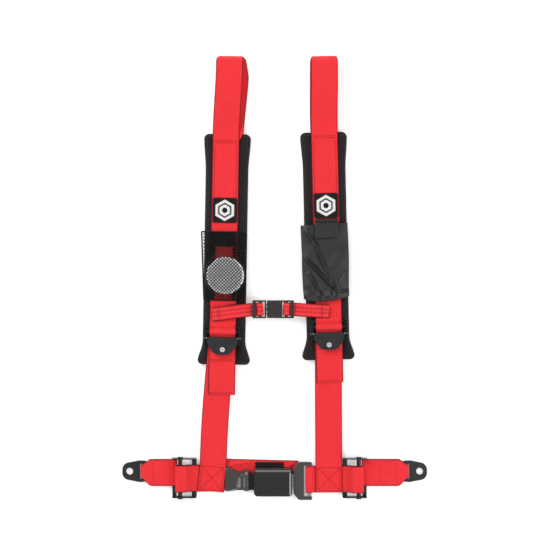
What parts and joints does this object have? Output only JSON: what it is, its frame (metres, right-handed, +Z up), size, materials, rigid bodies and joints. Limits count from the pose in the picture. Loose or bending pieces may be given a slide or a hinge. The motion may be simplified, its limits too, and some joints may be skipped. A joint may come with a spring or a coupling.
{
  "type": "racing harness",
  "caption": "Four point racing harness with padded shoulder belts, pad pockets, sternum strap, latch buckle, lap adjusters and bolt-in end tabs, lying flat.",
  "frame": {"origin": "on the table, under the middle of the harness's box", "axes": "+Y up the shoulder belts, +Z up from the table, +X towards the tongue's side"},
  "size_m": [0.5778, 0.8403, 0.0383],
  "materials": {
    "red_webbing": "woven",
    "black_pad_cloth": "matte",
    "black_spacer_mesh": "matte",
    "black_patch_cloth": "matte",
    "black_net": "matte",
    "black_nylon": "satin",
    "black_steel": "satin",
    "bright_steel": "brushed",
    "tin_plate": "satin",
    "grey_acetal": "matte",
    "black_buckle_plastic": "matte",
    "grey_gloss_plastic": "gloss"
  },
  "bodies": {
    "left_half": {"left_pad": "black_pad_cloth", "left_pad_backing": "black_spacer_mesh", "left_shoulder_belt": "red_webbing", "left_label": "black_patch_cloth", "left_adjuster_frame": "black_steel", "left_adjuster_bar": "bright_steel", "left_adjuster_pin": "bright_steel", "left_lower_belt": "red_webbing", "left_lap_belt": "red_webbing", "left_lap_frame": "black_steel", "left_outer_belt": "red_webbing", "left_sternum_belt": "red_webbing", "mesh_pocket": "black_net", "mesh_pocket_patch": "black_nylon", "round_tin_base": "tin_plate", "round_tin_lid": "tin_plate", "sternum_plug": "grey_acetal", "buckle_base": "black_buckle_plastic", "buckle_cover": "black_buckle_plastic", "buckle_screws": "bright_steel", "buckle_frame": "bright_steel", "latch_pin": "bright_steel", "button_springs": "bright_steel", "ejector_spring": "bright_steel", "buckle_boot": "grey_gloss_plastic", "backing_strap": "red_webbing", "backing_sleeve": "black_patch_cloth"},
    "right_half": {"right_pad": "black_pad_cloth", "right_pad_backing": "black_spacer_mesh", "right_shoulder_belt": "red_webbing", "right_label": "black_patch_cloth", "right_adjuster_frame": "black_steel", "right_adjuster_bar": "bright_steel", "right_adjuster_pin": "bright_steel", "right_lower_belt": "red_webbing", "right_lap_belt": "red_webbing", "right_lap_frame": "black_steel", "right_outer_belt": "red_webbing", "right_sternum_belt": "red_webbing", "nylon_pocket": "black_nylon", "sternum_socket": "grey_acetal", "tongue_plate": "bright_steel", "tongue_grip": "grey_gloss_plastic"},
    "left_lever": {"left_adjuster_lever": "black_steel"},
    "right_lever": {"right_adjuster_lever": "black_steel"},
    "left_lap_bar": {"left_lap_lock_bar": "bright_steel"},
    "right_lap_bar": {"right_lap_lock_bar": "bright_steel"},
    "left_tab": {"left_end_tab": "black_steel"},
    "right_tab": {"right_end_tab": "black_steel"},
    "button": {"buckle_button": "black_buckle_plastic"},
    "latch": {"buckle_latch": "bright_steel"},
    "ejector": {"buckle_ejector": "black_buckle_plastic"},
    "prong_upper": {"sternum_prong_upper": "grey_acetal"},
    "prong_lower": {"sternum_prong_lower": "grey_acetal"},
    "pocket_tab": {"nylon_pocket_tab": "black_nylon"}
  },
  "joints": [
    {"name": "halves_part", "type": "slide", "parent": "left_half", "child": "right_half", "axis": [1, 0, 0], "range_m": [0, 0.036], "deforming": ["buckle_latch", "sternum_prong_upper", "sternum_prong_lower"]},
    {"name": "button_press", "type": "slide", "parent": "left_half", "child": "button", "axis": [-1, 0, 0], "range_m": [0, 0.0043], "stiffness_N_per_m": 900, "springref_m": -0.002, "deforming": ["button_springs"]},
    {"name": "latch_lift", "type": "hinge", "parent": "left_half", "child": "latch", "pos_m": [-0.02, -0.386, 0.0122], "axis": [0, -1, 0], "range_deg": [0, 8.2]},
    {"name": "ejector_push", "type": "slide", "parent": "left_half", "child": "ejector", "axis": [1, 0, 0], "range_m": [0, 0.0075], "deforming": ["ejector_spring"]},
    {"name": "left_lever_lift", "type": "hinge", "parent": "left_half", "child": "left_lever", "pos_m": [-0.10198, -0.11348, 0.0236], "axis": [-0.9998, 0.0175, 0], "range_deg": [0, 70]},
    {"name": "right_lever_lift", "type": "hinge", "parent": "right_half", "child": "right_lever", "pos_m": [0.09907, -0.10447, 0.0236], "axis": [-0.9997, -0.0227, 0], "range_deg": [0, 70]},
    {"name": "left_lap_bar_slide", "type": "slide", "parent": "left_half", "child": "left_lap_bar", "axis": [-1, 0, 0], "range_m": [0, 0.0034]},
    {"name": "right_lap_bar_slide", "type": "slide", "parent": "right_half", "child": "right_lap_bar", "axis": [1, 0, 0], "range_m": [0, 0.0034]},
    {"name": "left_tab_swing", "type": "hinge", "parent": "left_half", "child": "left_tab", "pos_m": [-0.252, -0.3665, 0.0034], "axis": [0, 1, 0], "range_deg": [0, 60], "deforming": ["left_outer_belt"]},
    {"name": "right_tab_swing", "type": "hinge", "parent": "right_half", "child": "right_tab", "pos_m": [0.245, -0.3665, 0.0034], "axis": [0, -1, 0], "range_deg": [0, 60], "deforming": ["right_outer_belt"]},
    {"name": "prong_upper_bend", "type": "hinge", "parent": "left_half", "child": "prong_upper", "pos_m": [-0.0191, -0.0502, 0.012], "axis": [0, 0, -1], "range_deg": [0, 14], "stiffness_Nm_per_rad": 0.6},
    {"name": "prong_lower_bend", "type": "hinge", "parent": "left_half", "child": "prong_lower", "pos_m": [-0.0191, -0.0678, 0.012], "axis": [0, 0, 1], "range_deg": [0, 14], "stiffness_Nm_per_rad": 0.6},
    {"name": "pocket_tab_lift", "type": "hinge", "parent": "right_half", "child": "pocket_tab", "pos_m": [0.09416, 0.11197, 0.0152], "axis": [-0.9997, -0.0227, 0], "range_deg": [0, 110]}
  ],
  "couplings": [
    {"joint": "latch_lift", "follows": "button_press", "rad_per_m": 32.471},
    {"joint": "ejector_push", "follows": "halves_part", "ratio": 0.2}
  ]
}
